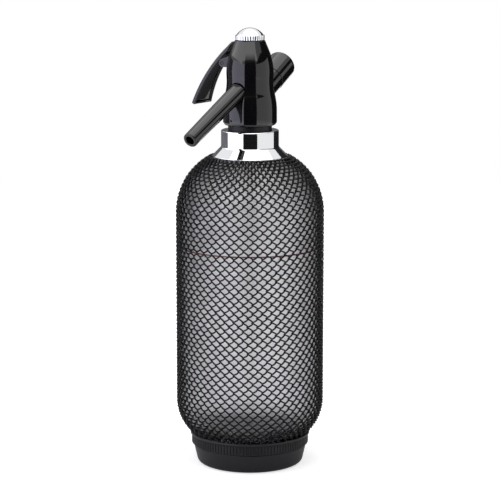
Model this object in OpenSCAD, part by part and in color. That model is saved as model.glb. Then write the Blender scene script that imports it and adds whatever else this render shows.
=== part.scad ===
// Soda siphon: a mesh-clad glass pressure bottle with a screw-on valve head.
// The frame stands on the middle of the foot, with +Z up, the nozzle towards -Y,
// the charger holder towards +Y and the lever towards -X.

/* [Bottle and jacket] */
// Outside diameter of the wire jacket
jacket_d = 112; // [104:1:120]
// Height at which the shoulder's curve starts
shoulder_z = 195.5; // [170:0.5:240]
// Radius of the shoulder's curve, on the outside of the jacket
shoulder_r = 48.5; // [46:0.5:50]
// Height of the jacket's lowest point over the foot
heel_stand = 16; // [14:0.5:18]
// Radius of the heel's curve, on the outside of the jacket
heel_r = 34; // [32:0.5:36]
// Thickness of the jacket
jacket_t = 2.4; // [2.2:0.1:3]
// Diameter of the jacket's wire
wire_d = 0.9; // [0.7:0.1:1]
// Strands in each of the jacket's two layers
strand_count = 18; // [10:1:20]
// Turn of a strand between collar and base, in degrees
strand_turn = 160; // [60:5:200]
// Wall of the glass
glass_wall = 5; // [4:0.5:6]
// Diameter of the mouth of the bottle
mouth_d = 24.4; // [24:0.2:26]
// Outside diameter of the neck of the bottle
neck_d = 34.4; // [33:0.2:35]
// Diameter of the bead at the mouth
bead_d = 37.2; // [36.8:0.1:37.6]
// Height of the bead at the mouth
bead_h = 4; // [3:0.5:4.5]
// Height of the neck, from the shoulder to the mouth
neck_h = 6.8; // [6.6:0.1:8]

/* [Base] */
// Height of the cup over the jacket's lowest point
cup_grip = 8.5; // [7.5:0.5:9.5]
// Wall of the cup's lip round the jacket
lip_wall = 1.1; // [0.8:0.1:2]
// Height of the cup's lip
lip_h = 2.1; // [1.5:0.1:3]
// Depth of the cup's side behind its lip
cup_step = 2.5; // [2:0.1:3]
// Depth of the flat underside's edge behind the lip
foot_step = 9; // [8:0.5:12]
// Height of the cup's rounded bottom edge
foot_round = 4; // [2:0.5:6]
// Thickness of the cup's floor
floor_t = 3; // [2:0.5:5]
// Height of the ribbed band
band_h = 7; // [5:0.5:7.5]
// Depth of the ribbed band behind the lip
band_step = 1; // [0.6:0.1:1.4]
// Depth of the ribs
rib_depth = 0.5; // [0.3:0.1:0.7]
// Ribs round the band
rib_count = 110; // [80:1:120]

/* [Collar] */
// Diameter of the collar's skirt
skirt_d = 59; // [56:0.5:62]
// Diameter of the collar's sleeve
sleeve_d = 43.8; // [43.4:0.2:46]
// Height of the skirt
skirt_h = 7.4; // [6.5:0.1:8]
// Height of the collar over the mouth of the bottle
collar_rise = 11; // [10:0.5:13]
// Wall of the collar
collar_t = 1.3; // [1:0.1:1.4]
// Wall of the thread ring behind the sleeve
thread_ring_t = 1.7; // [1.5:0.1:1.9]
// Diameter of the head's thread
thread_d = 33.2; // [32.8:0.1:33.4]

/* [Head] */
// Gap between collar and head
head_gap = 3.8; // [3:0.1:5]
// Height of the head
head_h = 63.9; // [62.7:0.1:65.7]
// Diameter of the head at its foot
head_d = 40.8; // [40:0.1:42]
// Diameter of the head at its waist
waist_d = 35; // [34.6:0.1:36]
// Diameter of the head at its crown
crown_d = 35.8; // [35.4:0.1:36.6]
// Diameter of the head at its top
top_d = 22.6; // [21:0.1:24]
// Radius of the head's bottom edge
head_edge = 2.5; // [1:0.1:3]
// Diameter of the core below its step
core_low_d = 34; // [33.6:0.1:34.2]
// Diameter of the core above its step
core_mid_d = 30; // [29.6:0.1:30.4]
// Diameter of the core's tower
tower_d = 17; // [16.6:0.1:17.4]

/* [Nozzle] */
// Slope of the nozzle below the level, in degrees
nozzle_drop = 26; // [24:0.5:28]
// Reach of the nozzle from the head's middle, along the nozzle
nozzle_reach = 87; // [60:1:110]
// Diameter of the nozzle at the head
nozzle_root_d = 13.5; // [12.6:0.1:14]
// Diameter of the nozzle at its tip
nozzle_tip_d = 11.2; // [9:0.1:12.4]
// Bore of the nozzle
nozzle_bore = 6.6; // [4:0.1:7]

/* [Charger] */
// Slope of the charger holder above the level, in degrees
holder_rise = 30; // [28:0.5:32]
// Length of the gas charger
charger_len = 65.5; // [62:0.5:70]
// Diameter of the gas charger
charger_d = 18; // [17:0.1:18.4]
// Diameter of the gas charger's neck
charger_neck_d = 8.8; // [8:0.1:9]
// Wall of the charger holder
holder_wall = 1.3; // [1:0.1:1.5]
// Step of the holder's grip over its thread
holder_step = 0.35; // [0.2:0.05:0.5]

/* [Lever] */
// Skin of the lever
lever_skin = 1.8; // [1.5:0.1:2]
// Depth of the lever's rims
rim_depth = 1.5; // [1:0.1:1.7]
// Thickness of the lever's rims
rim_t = 1.4; // [1.2:0.1:1.8]
// Width of the lever at its top
lever_top_w = 9; // [8:0.5:12]
// Width of the lever at its tip
lever_tip_w = 23; // [18:0.5:25]
// Bulge of the lever's curve
lever_sag = 4.2; // [3.6:0.1:5]
// Diameter of the hinge pin
pin_d = 3; // [2.5:0.1:3.4]
// Width of the lever between its ears
eye_w = 10; // [8:0.5:11]
// Thickness of an ear
ear_t = 2.5; // [2:0.1:3]

/* [Valve and cap] */
// Diameter of the valve stem
stem_d = 4; // [3.4:0.1:4.2]
// Diameter of the stem's collar
stem_collar_d = 11.2; // [10.8:0.1:11.4]
// Coils of the valve spring
spring_coils = 7; // [4:0.5:8]
// Wire of the valve spring
spring_wire = 0.7; // [0.5:0.1:0.9]
// Mean diameter of the valve spring
spring_d = 6.4; // [6:0.1:7]
// Diameter of the cap over its flutes
cap_d = 22; // [21:0.1:24]
// Height of the cap's fluted ring
cap_ring_h = 3.5; // [3:0.1:4.5]
// Height of the cap's dome
cap_dome_h = 5.5; // [4.5:0.1:8]
// Flutes round the cap
flute_count = 36; // [24:1:48]

/* [Hidden] */
$fn = 96;
// Steps of an arc in an outline
arc_steps = 12;
// Overlap of a cutter past the face that it cuts
cut = 1;
// Clearances: between still parts, between threads, round a turning pin, and between flat seats
still_gap = 0.3;
thread_gap = 0.15;
pin_gap = 0.05;
seat_gap = 0.1;

// Jacket and glass: the same arcs at a depth below the outside of the jacket
shoulder_c = jacket_d / 2 - shoulder_r;
heel_c = jacket_d / 2 - heel_r;
heel_z = heel_stand + heel_r;
glass_depth = jacket_t + still_gap;
glass_inside = glass_depth + glass_wall;
glass_floor_z = heel_z - heel_r + glass_depth;
function shoulder_angle(r, depth) = acos((r - shoulder_c) / (shoulder_r - depth));
function shoulder_height(r, depth) =
    shoulder_z + (shoulder_r - depth) * sin(shoulder_angle(r, depth));

// Base, from the heel down
cup_seat_r = heel_r + still_gap;
cup_floor_z = heel_z - cup_seat_r;
cup_h = heel_stand + cup_grip;
lip_depth = heel_z - cup_h;
lip_r = heel_c + sqrt(cup_seat_r * cup_seat_r - lip_depth * lip_depth) + lip_wall;
cup_r = lip_r - cup_step;
foot_r = lip_r - foot_step;
band_r = lip_r - band_step;
band_z = cup_h - lip_h - band_h - 2 * seat_gap;
band_t = 1.4;
band_seat_r = band_r - band_t;

// Collar, from the shoulder up
skirt_sink = 0.7;
skirt_z = shoulder_height(skirt_d / 2, 0) - skirt_sink;
lip_z = shoulder_height(neck_d / 2, glass_depth) + neck_h;
collar_top = lip_z + collar_rise;
sleeve_r = sleeve_d / 2;
flange_t = 0.9;
ring_outer_r = sleeve_r - collar_t - seat_gap;
ring_inner_r = ring_outer_r - thread_ring_t;
ring_top = collar_top - flange_t - seat_gap;
spigot_r = thread_d / 2;
gasket_t = 1.4;
spigot_bottom = lip_z + seat_gap + gasket_t;
liner_h = 2;
ring_bottom = lip_z - bead_h - liner_h - 2 * seat_gap;

// Head, from the collar up
head_z = collar_top + head_gap;
head_top = head_z + head_h;
head_r = head_d / 2;
waist_r = waist_d / 2;
crown_r = crown_d / 2;
side_rise = 10.2;
crease_rise = 22.7;
waist_rise = 33.4;
crown_rise = 39.7;
side_z = head_z + side_rise;
crease_z = head_z + crease_rise;
waist_z = head_z + waist_rise;
crown_z = head_z + crown_rise;
crown_bend = 31;
crown_slope = 19.2;
crease_step = 1.5;
crease_r = waist_r + crease_step;
low_r = core_low_d / 2;
mid_r = core_mid_d / 2;
tower_r = tower_d / 2;
step_rise = 21.2;
tower_rise = 42.7;
tower_drop = 0.5;
step_z = head_z + step_rise;
tower_z = head_z + tower_rise;
tower_top = head_top - tower_drop;

// Valve, from the nozzle's height up
nozzle_rise = 34.2;
nozzle_z = head_z + nozzle_rise;
outlet_r = 2.8;
passage_r = 2.4;
outlet_drop = 3.4;
seat_rise = 3;
outlet_z = nozzle_z - outlet_drop;
seat_z = nozzle_z + seat_rise;
chamber_r = 4.5;
chamber_rise = 0.8;
chamber_top = tower_z + chamber_rise;
seal_t = 2;
seal_z = seat_z + seat_gap;
gland_t = 1.4;
o_ring_t = 2;
gland_z = chamber_top + o_ring_t;
spring_bore_r = 6;
stem_collar_rise = 51.7;
stem_collar_z = head_z + stem_collar_rise;
stem_collar_t = 1.5;
stem_r = stem_d / 2;
spring_z = stem_collar_z + stem_collar_t + seat_gap;
cap_seal_t = 0.75;
cap_z = tower_top + cap_seal_t + seat_gap;
cap_top = cap_z + cap_ring_h + cap_dome_h;
cap_cover = 4;
pocket_top = cap_top - cap_cover;
cap_plug_h = 6;

// Siphon tube, gallery and gas duct
tube_r = 3.5;
tube_bore_r = 2.2;
bush_r = 5.9;
bush_h = 7;
tube_foot = 6;
tube_top = spigot_bottom + bush_h;
gallery_out = 12.9;
gallery_r = 1.3;
branch_r = 1;
gallery_floor = 2.2;
gallery_drop = 3;
gallery_bottom = tube_top + gallery_floor;
gallery_top = chamber_top - gallery_drop;
duct_out = 9.5;
gas_low = [0, -duct_out, spigot_bottom];
duct_r = 1.1;
duckbill_r = 2.2;
duckbill_h = 5.5;
duckbill_seat = 2.4;

// Charger, along the holder's axis from the head's middle
holder_height = 17.2;
holder_z = head_z + holder_height;
charger_tip = -13.5;
charger_end = charger_tip + charger_len;
charger_r = charger_d / 2;
charger_neck_r = charger_neck_d / 2;
charger_neck_len = 10.5;
charger_cone_len = 13;
charger_skin = 1.6;
charger_hole_r = 1.5;
holder_bore_r = charger_r + still_gap;
holder_r = holder_bore_r + holder_wall;
socket_r = holder_r + thread_gap;
holder_lead = 1;
holder_start = charger_tip + charger_neck_len + charger_cone_len + holder_lead;
grip_start = 32;
holder_end_t = 1.5;
holder_end = charger_end + seat_gap + holder_end_t;
holder_round = 4;
pin_seat_r = 2.15;
pin_base_t = 1.4;
charger_seal_t = 1.2;
pin_reach = 1.6;
pin_shoulder = charger_tip - charger_seal_t;
pin_base = pin_shoulder - pin_base_t;
pin_point = charger_tip + pin_reach;
pin_point_r = 1;
pin_hole_r = 0.45;

// Nozzle, along its own axis from the head's middle
nozzle_start = 18;
nozzle_spigot_r = 5;
nozzle_spigot_start = 9.4;
nozzle_seal_t = 1.5;
nozzle_tip_round = 0.8;
nozzle_fit = 0.2;

// Reach of the cutters for the two sockets, from inside the core to outside the shell
socket_inside = 8;
socket_outside = 40;

// Lever, in the X-Z plane
pin_stand = 2.4;
pin_rise = 46.2;
pin_x = -(crown_r + pin_stand);
pin_z = head_z + pin_rise;
eye_r = 3;
ear_r = 3.1;
lever_top_out = 13.6;
lever_top_rise = 62.7;
lever_tip_out = 46.6;
lever_tip_rise = 14.7;
lever_top = [-lever_top_out, head_z + lever_top_rise];
lever_tip = [-lever_tip_out, head_z + lever_tip_rise];
lever_chord = norm(lever_tip - lever_top);
lever_dir = (lever_tip - lever_top) / lever_chord;
lever_in = [-lever_dir[1], lever_dir[0]];
lever_r = (lever_chord * lever_chord / 4 + lever_sag * lever_sag) / (2 * lever_sag);
lever_half = asin(lever_chord / 2 / lever_r);
lever_c = (lever_top + lever_tip) / 2 + lever_in * (lever_r - lever_sag);
rim_start = 0.04;
rim_full = 0.14;
web_high = 0.16;
web_low = 0.44;
lever_span = 60;
nose_w = 5;
nose_r = 1.2;
nose_gap = 1.9;
nose_x = -(stem_r + nose_gap);
nose_z = stem_collar_z - still_gap - nose_r;
nose_low = 0.4;
slot_w = nose_w + 2 * still_gap;
slot_rise = 10.5;
slot_top = pin_z + slot_rise;

// Points of an arc about (cx, cz)
function arc(cx, cz, r, from, to, steps = arc_steps) = [
    for (i = [0 : steps])
        let (a = from + (to - from) * i / steps)
        [cx + r * cos(a), cz + r * sin(a)]
];
function reversed(list) = [for (i = [len(list) - 1 : -1 : 0]) list[i]];

// Outline of the body at a depth below the outside of the jacket, from the heel's lowest point up
function body_outline(depth, top_r) = concat(
    arc(heel_c, heel_z, heel_r - depth, -90, 0),
    arc(shoulder_c, shoulder_z, shoulder_r - depth, 0, shoulder_angle(top_r, depth))
);

module ring(outer_r, inner_r, bottom, top) {
    translate([0, 0, bottom])
        difference() {
            cylinder(r = outer_r, h = top - bottom);
            translate([0, 0, -cut]) cylinder(r = inner_r, h = top - bottom + 2 * cut);
        }
}

module rod(r, bottom, top) {
    translate([0, 0, bottom]) cylinder(r = r, h = top - bottom);
}

module on_nozzle_axis() {
    translate([0, 0, nozzle_z]) rotate([90 + nozzle_drop, 0, 0]) children();
}

module on_holder_axis() {
    translate([0, 0, holder_z]) rotate([holder_rise - 90, 0, 0]) children();
}

// A prism across the lever: an outline in the X-Z plane, centred on Y
module across(width) {
    rotate([90, 0, 0]) linear_extrude(height = width, center = true) children();
}

// A closed tube through points, whose rings face along the path and start from a side direction
function unit(v) = v / norm(v);
function path_dir(p, i) = unit(p[min(i + 1, len(p) - 1)] - p[max(i - 1, 0)]);
function tube_points(p, out, r, sides) = [
    for (i = [0 : len(p) - 1])
        let (d = path_dir(p, i), b = unit(cross(d, out[i])), n = cross(b, d))
        for (k = [0 : sides - 1])
            p[i] + r * (cos(360 * k / sides) * n + sin(360 * k / sides) * b)
];
function tube_faces(rings, sides) = concat(
    [for (i = [0 : rings - 2]) for (k = [0 : sides - 1])
        let (a = i * sides + k, b = i * sides + (k + 1) % sides)
        [a, b, b + sides]],
    [for (i = [0 : rings - 2]) for (k = [0 : sides - 1])
        let (a = i * sides + k, b = i * sides + (k + 1) % sides)
        [a, b + sides, a + sides]],
    [for (k = [1 : sides - 2]) [0, k + 1, k]],
    [for (k = [1 : sides - 2])
        let (last = (rings - 1) * sides)
        [last, last + k, last + k + 1]]
);
module tube(p, out, r, sides) {
    polyhedron(points = tube_points(p, out, r, sides), faces = tube_faces(len(p), sides));
}

module glass_bottle() {
    neck_r = neck_d / 2;
    bead_r = bead_d / 2;
    mouth_r = mouth_d / 2;
    bead_round = 1;
    outside = body_outline(glass_depth, neck_r);
    inside = body_outline(glass_inside, mouth_r);
    color("lightgray")
        rotate_extrude()
            polygon(concat(
                [[0, glass_floor_z]],
                outside,
                [[neck_r, lip_z - bead_h], [bead_r, lip_z - bead_h]],
                arc(bead_r - bead_round, lip_z - bead_round, bead_round, 0, 90, 4),
                [[mouth_r, lip_z]],
                reversed(inside),
                [[0, glass_floor_z + glass_wall]]
            ));
}

// Place on the jacket at a share of its way down, at a depth below its outside: [r, z, slope]
jacket_top_r = skirt_d / 2 + 1.2;
jacket_top_a = shoulder_angle(jacket_top_r, 0);
jacket_low_a = -58;
shoulder_len = shoulder_r * jacket_top_a * PI / 180;
wall_len = shoulder_z - heel_z;
heel_len = -heel_r * jacket_low_a * PI / 180;
jacket_len = shoulder_len + wall_len + heel_len;
function jacket_place(s, depth) =
    s < shoulder_len
        ? let (a = jacket_top_a * (1 - s / shoulder_len))
          [shoulder_c + (shoulder_r - depth) * cos(a), shoulder_z + (shoulder_r - depth) * sin(a), a]
    : s < shoulder_len + wall_len
        ? [jacket_d / 2 - depth, shoulder_z - (s - shoulder_len), 0]
        : let (a = jacket_low_a * (s - shoulder_len - wall_len) / heel_len)
          [heel_c + (heel_r - depth) * cos(a), heel_z + (heel_r - depth) * sin(a), a];

strand_rings = 22;
strand_sides = 4;
layer_gap = 0.2;
module strand(turn, depth) {
    places = [for (i = [0 : strand_rings - 1]) jacket_place(jacket_len * i / (strand_rings - 1), depth)];
    angles = [for (i = [0 : strand_rings - 1]) turn * i / (strand_rings - 1)];
    path = [for (i = [0 : strand_rings - 1])
        [places[i][0] * cos(angles[i]), places[i][0] * sin(angles[i]), places[i][1]]];
    out = [for (i = [0 : strand_rings - 1])
        [cos(places[i][2]) * cos(angles[i]), cos(places[i][2]) * sin(angles[i]), sin(places[i][2])]];
    tube(path, out, wire_d / 2, strand_sides);
}

// The woven jacket as two layers of crossing strands, coarser than the real weave
module mesh_jacket() {
    color("black")
        for (i = [0 : strand_count - 1])
            rotate([0, 0, 360 * i / strand_count]) {
                strand(strand_turn, wire_d / 2);
                strand(-strand_turn, wire_d * 1.5 + layer_gap);
            }
}

module base_cup() {
    wall_r = lip_r - 8;
    groove = 0.6;
    lip_round = 0.4;
    foot_lean = 15;
    weld = 0.5;
    pedestal_t = 5;
    lip_z0 = cup_h - lip_h;
    seat_a = asin((cup_h - heel_z) / cup_seat_r);
    wall_a = -acos((wall_r - heel_c) / cup_seat_r);
    color("#2b2a2f") {
        rotate_extrude()
            polygon(concat(
                [[0, 0]],
                arc(foot_r, foot_round, foot_round, -90, -foot_lean, 6),
                [[cup_r, band_z - groove], [band_seat_r, band_z - groove], [band_seat_r, lip_z0]],
                [[lip_r - lip_round, lip_z0], [lip_r, lip_z0 + lip_round]],
                [[lip_r, cup_h - lip_round], [lip_r - lip_round, cup_h]],
                arc(heel_c, heel_z, cup_seat_r, seat_a, wall_a, 6),
                [[wall_r, floor_t], [0, floor_t]]
            ));
        ring(heel_c, heel_c - pedestal_t, floor_t - weld, cup_floor_z);
    }
}

module base_grip_ring() {
    pitch = 360 / rib_count;
    fine_steps = 360;
    // A rib's root, its two flanks and its crest, as shares of the pitch
    outline = [for (i = [0 : rib_count - 1]) each [
        (band_r - rib_depth) * [cos(i * pitch), sin(i * pitch)],
        (band_r - rib_depth) * [cos((i + 0.3) * pitch), sin((i + 0.3) * pitch)],
        band_r * [cos((i + 0.5) * pitch), sin((i + 0.5) * pitch)],
        band_r * [cos((i + 0.8) * pitch), sin((i + 0.8) * pitch)]
    ]];
    color("#34343a")
        difference() {
            translate([0, 0, band_z]) linear_extrude(height = band_h) polygon(outline);
            rod(band_seat_r + seat_gap, band_z - cut, band_z + band_h + cut, $fn = fine_steps);
        }
}

module base_cushion() {
    cushion_r = heel_c - still_gap;
    color("dimgray") rod(cushion_r, cup_floor_z, glass_floor_z - seat_gap);
}

module neck_collar() {
    skirt_r = skirt_d / 2;
    rim = 0.5;
    fold = collar_t * 0.4;
    skirt_top = skirt_z + skirt_h;
    inner_r = sleeve_r - collar_t;
    flange_r = spigot_r + still_gap;
    color("silver")
        rotate_extrude()
            polygon([
                [skirt_r, skirt_z], [skirt_r - rim, skirt_z - rim], [skirt_r - collar_t, skirt_z],
                [inner_r, skirt_top - fold], [inner_r, collar_top - flange_t],
                [flange_r, collar_top - flange_t], [flange_r, collar_top],
                [sleeve_r - rim, collar_top], [sleeve_r, collar_top - rim], [sleeve_r, skirt_top]
            ]);
}

module thread_ring() {
    thread_r = spigot_r + thread_gap;
    color("gold")
        rotate_extrude()
            polygon([
                [ring_outer_r, ring_bottom], [ring_outer_r, ring_top], [thread_r, ring_top],
                [thread_r, lip_z + seat_gap], [ring_inner_r, lip_z + seat_gap], [ring_inner_r, ring_bottom]
            ]);
}

module neck_liner() {
    split_w = 3;
    liner_z = lip_z - bead_h - seat_gap - liner_h;
    color("ivory")
        difference() {
            ring(ring_inner_r - seat_gap, neck_d / 2 + seat_gap, liner_z, liner_z + liner_h);
            translate([0, -split_w / 2, liner_z - cut])
                cube([ring_inner_r + cut, split_w, liner_h + 2 * cut]);
        }
}

module neck_gasket() {
    color("#202020")
        ring(spigot_r - still_gap, mouth_d / 2 + still_gap, lip_z + seat_gap, spigot_bottom - seat_gap);
}

function head_outline() = concat(
    arc(head_r - head_edge, head_z + head_edge, head_edge, -90, 0, 6),
    flare_arc(),
    waist_arc(),
    arc(crown_r - crown_bend, crown_z, crown_bend, -3, crown_slope),
    [[top_d / 2, head_top]]
);
// Radius of an arc that leaves the vertical and is off it by a width at a height
function lean_radius(width, height) = (width * width + height * height) / (2 * width);
function flare_arc() =
    let (r = lean_radius(head_r - crease_r, crease_z - side_z))
    arc(head_r - r, side_z, r, 0, asin((crease_z - side_z) / r));
function waist_arc() =
    let (r = lean_radius(crease_r - waist_r, waist_z - crease_z))
    reversed(arc(waist_r + r, waist_z, r, 174, 180 + asin((waist_z - crease_z) / r)));

module ear() {
    root_x = -crown_r * 2 / 3;
    root_low = 0.4;
    root_high = 3;
    across(ear_t)
        difference() {
            union() {
                translate([pin_x, pin_z]) circle(r = ear_r);
                polygon([
                    [pin_x, pin_z - ear_r], [root_x, pin_z - ear_r + root_low],
                    [root_x, pin_z + ear_r + root_high], [pin_x, pin_z + ear_r]
                ]);
            }
            translate([pin_x, pin_z]) circle(d = pin_d + 2 * pin_gap);
        }
}

// Way of the lever's nose through a wall, from a height up
module lever_slot(bottom) {
    translate([pin_x - eye_r, -slot_w / 2, bottom])
        cube([-pin_x + eye_r, slot_w, slot_top - bottom]);
}

module head_shell() {
    ear_y = eye_w / 2 + still_gap + ear_t / 2;
    color("#101012") {
        difference() {
            rotate_extrude()
                polygon(concat(
                    [[low_r + pin_gap, head_z]],
                    head_outline(),
                    [
                        [tower_r + pin_gap, head_top], [tower_r + pin_gap, tower_z + seat_gap],
                        [mid_r + pin_gap, tower_z + seat_gap], [mid_r + pin_gap, step_z + seat_gap],
                        [low_r + pin_gap, step_z + seat_gap]
                    ]
                ));
            on_nozzle_axis() rod(nozzle_root_d / 2 + nozzle_fit, socket_inside, socket_outside);
            on_holder_axis() rod(socket_r, socket_inside, socket_outside);
            lever_slot(pin_z - eye_r);
        }
        for (side = [-1, 1]) translate([0, side * ear_y, 0]) ear();
    }
}

// Straight duct from the pin's seat down to the duckbill
module gas_duct() {
    behind = charger_tip - charger_seal_t * 1.5;
    high = [0, behind * cos(holder_rise), holder_z + behind * sin(holder_rise)];
    way = high - gas_low;
    translate(gas_low) rotate([-atan2(way[1], way[2]), 0, 0]) cylinder(r = duct_r, h = norm(way));
}

module valve_body() {
    cone_start = charger_tip + charger_neck_len;
    color("#3a3a3d")
        difference() {
            union() {
                rod(spigot_r, spigot_bottom, head_z);
                rod(low_r, head_z, step_z);
                rod(mid_r, step_z, tower_z);
                rod(tower_r, tower_z, tower_top);
            }
            rod(bush_r + seat_gap, spigot_bottom - cut, tube_top);
            rod(tube_bore_r, tube_top - cut, gallery_bottom + 2 * branch_r);
            for (z = [gallery_bottom, gallery_top])
                translate([0, 0, z]) rotate([0, -90, 0]) cylinder(r = branch_r, h = gallery_out);
            translate([-gallery_out, 0, 0])
                rod(gallery_r, gallery_bottom - 2 * branch_r, gallery_top + 2 * branch_r);
            rod(outlet_r, outlet_z, seat_z + cut);
            rod(chamber_r, seat_z, chamber_top);
            rod(spring_bore_r, chamber_top, tower_top + cut);
            on_nozzle_axis() {
                rod(passage_r, 0, socket_outside);
                rod(nozzle_spigot_r + seat_gap, nozzle_spigot_start - nozzle_seal_t, socket_outside);
                rod(nozzle_root_d / 2 + nozzle_fit, nozzle_start - seat_gap, socket_outside);
            }
            on_holder_axis() {
                rod(socket_r, holder_start - seat_gap, socket_outside);
                rod(charger_neck_r + still_gap, pin_shoulder, cone_start + cut);
                translate([0, 0, cone_start])
                    cylinder(
                        r1 = charger_neck_r + still_gap,
                        r2 = charger_r + still_gap,
                        h = charger_cone_len
                    );
                rod(charger_r + still_gap, cone_start + charger_cone_len, holder_start);
                rod(pin_seat_r, pin_base, pin_shoulder + cut);
            }
            gas_duct();
            translate([gas_low[0], gas_low[1], 0])
                rod(duckbill_r, spigot_bottom - cut, spigot_bottom + duckbill_seat);
            lever_slot(gland_z + gland_t + still_gap);
        }
}

module siphon_tube() {
    color("white")
        ring(tube_r, tube_bore_r, glass_floor_z + glass_wall + tube_foot, tube_top);
}

module tube_bush() {
    bush_lip = 2;
    color("#202020") ring(bush_r, tube_r + pin_gap, spigot_bottom - bush_lip, tube_top);
}

module gas_check_valve() {
    bill_r = 0.8;
    skirt = 1;
    plug_r = duckbill_r - pin_gap;
    color("#303030")
        translate([gas_low[0], gas_low[1], spigot_bottom])
            difference() {
                union() {
                    rod(plug_r, -skirt, duckbill_seat);
                    translate([0, 0, -duckbill_h]) cylinder(r1 = bill_r, r2 = plug_r, h = duckbill_h - skirt);
                }
                rod(duckbill_r / 2, -skirt, duckbill_seat + cut);
            }
}

module piercing_pin() {
    point_len = 1.2;
    point_wall = 0.1;
    color("silver")
        on_holder_axis()
            difference() {
                union() {
                    rod(pin_seat_r - pin_gap, pin_base, pin_shoulder);
                    rod(pin_point_r, pin_base, pin_point - point_len);
                    translate([0, 0, pin_point - point_len])
                        cylinder(r1 = pin_point_r, r2 = pin_hole_r + point_wall, h = point_len);
                }
                rod(pin_hole_r, pin_base - cut, pin_point + cut);
            }
}

module charger_seal() {
    color("#a03020")
        on_holder_axis()
            ring(charger_neck_r, pin_point_r + pin_gap, pin_shoulder, charger_tip - seat_gap);
}

module gas_charger() {
    cone_start = charger_tip + charger_neck_len;
    body_start = cone_start + charger_cone_len;
    ball = charger_end - charger_r;
    inner_r = charger_r - charger_skin;
    color("silver")
        on_holder_axis()
            rotate_extrude()
                polygon(concat(
                    [[charger_hole_r, charger_tip], [charger_neck_r, charger_tip]],
                    [[charger_neck_r, cone_start], [charger_r, body_start]],
                    arc(0, ball, charger_r, 0, 90, 8),
                    arc(0, ball, inner_r, 90, 0, 8),
                    [[inner_r, body_start], [charger_hole_r, cone_start]]
                ));
}

module charger_holder() {
    grip_r = holder_r + holder_step;
    seam = 0.3;
    color("#17171a")
        on_holder_axis()
            rotate_extrude()
                polygon(concat(
                    [[holder_bore_r, holder_start], [holder_r, holder_start]],
                    [[holder_r, grip_start - seam], [holder_r - seam, grip_start], [grip_r, grip_start]],
                    arc(grip_r - holder_round, holder_end - holder_round, holder_round, 0, 90, 6),
                    [[0, holder_end]],
                    arc(0, charger_end - charger_r, holder_bore_r, 90, 0, 8)
                ));
}

module nozzle() {
    root_r = nozzle_root_d / 2;
    tip_r = nozzle_tip_d / 2;
    bore_r = nozzle_bore / 2;
    color("#17171a")
        on_nozzle_axis()
            rotate_extrude()
                polygon(concat(
                    [[bore_r, nozzle_spigot_start], [nozzle_spigot_r, nozzle_spigot_start]],
                    [[nozzle_spigot_r, nozzle_start], [root_r, nozzle_start]],
                    arc(
                        tip_r - nozzle_tip_round, nozzle_reach - nozzle_tip_round,
                        nozzle_tip_round, 0, 90, 4
                    ),
                    [[bore_r, nozzle_reach]]
                ));
}

module nozzle_seal() {
    color("#202020")
        on_nozzle_axis()
            ring(
                nozzle_spigot_r, nozzle_bore / 2 + pin_gap,
                nozzle_spigot_start - nozzle_seal_t, nozzle_spigot_start - seat_gap
            );
}

seal_pin_r = 1.2;
seal_floor = 0.5;
module valve_stem() {
    guide_h = 4;
    color("silver") {
        rod(stem_r, seal_z + seal_t, stem_collar_z + stem_collar_t + guide_h);
        rod(seal_pin_r, seal_z + seal_floor, seal_z + seal_t + cut);
        rod(stem_collar_d / 2, stem_collar_z, stem_collar_z + stem_collar_t);
    }
}

module valve_seal() {
    color("#202020")
        difference() {
            rod(chamber_r - still_gap, seal_z, seal_z + seal_t);
            rod(seal_pin_r, seal_z + seal_floor, seal_z + seal_t + cut);
        }
}

module stem_seal() {
    color("#202020")
        ring(spring_bore_r - seat_gap, stem_r + pin_gap, chamber_top, gland_z - seat_gap);
}

module gland_ring() {
    color("gold") ring(spring_bore_r - pin_gap, stem_r + pin_gap, gland_z, gland_z + gland_t);
}

spring_rings = 8;
spring_sides = 6;
spring_top = pocket_top - seat_gap - spring_wire / 2;
spring_bottom = spring_z + spring_wire / 2;
spring_path = [for (i = [0 : spring_coils * spring_rings])
    let (a = 360 * i / spring_rings, share = i / (spring_coils * spring_rings))
    [
        spring_d / 2 * cos(a), spring_d / 2 * sin(a),
        spring_bottom + (spring_top - spring_bottom) * share
    ]];
spring_out = [for (i = [0 : spring_coils * spring_rings])
    let (a = 360 * i / spring_rings)
    [cos(a), sin(a), 0]];
spring_least_gap = min([for (i = [0 : len(spring_path) - 1])
    for (k = [i + spring_rings - 1 : len(spring_path) - 1])
        norm(spring_path[i] - spring_path[k]) - spring_wire]);

module valve_spring() {
    echo(spring_least_gap = spring_least_gap);
    color("silver") tube(spring_path, spring_out, spring_wire / 2, spring_sides);
}

module top_cap() {
    cap_r = cap_d / 2;
    pitch = 360 / flute_count;
    flute = 0.5;
    weld = 0.5;
    dome_r = cap_r - 0.7;
    outline = [for (i = [0 : flute_count - 1]) each [
        (cap_r - flute) * [cos(i * pitch), sin(i * pitch)],
        cap_r * [cos((i + 0.25) * pitch), sin((i + 0.25) * pitch)],
        cap_r * [cos((i + 0.75) * pitch), sin((i + 0.75) * pitch)]
    ]];
    dome_z = cap_z + cap_ring_h;
    bend = lean_radius(cap_dome_h, dome_r);
    pocket_r = spring_d / 2 + spring_wire / 2 + still_gap;
    color("silver")
        difference() {
            union() {
                translate([0, 0, cap_z]) linear_extrude(height = cap_ring_h) polygon(outline);
                rotate_extrude()
                    polygon(concat(
                        [[0, dome_z - weld], [dome_r, dome_z - weld]],
                        arc(0, cap_top - bend, bend, 90 - asin(dome_r / bend), 90)
                    ));
                rod(spring_bore_r - thread_gap, cap_z - cap_plug_h, cap_z + weld);
            }
            rod(pocket_r, cap_z - cap_plug_h - cut, pocket_top);
        }
}

module cap_seal() {
    color("#202020")
        ring(tower_r - seat_gap, spring_bore_r + seat_gap, tower_top + seat_gap, cap_z - seat_gap);
}

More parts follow.
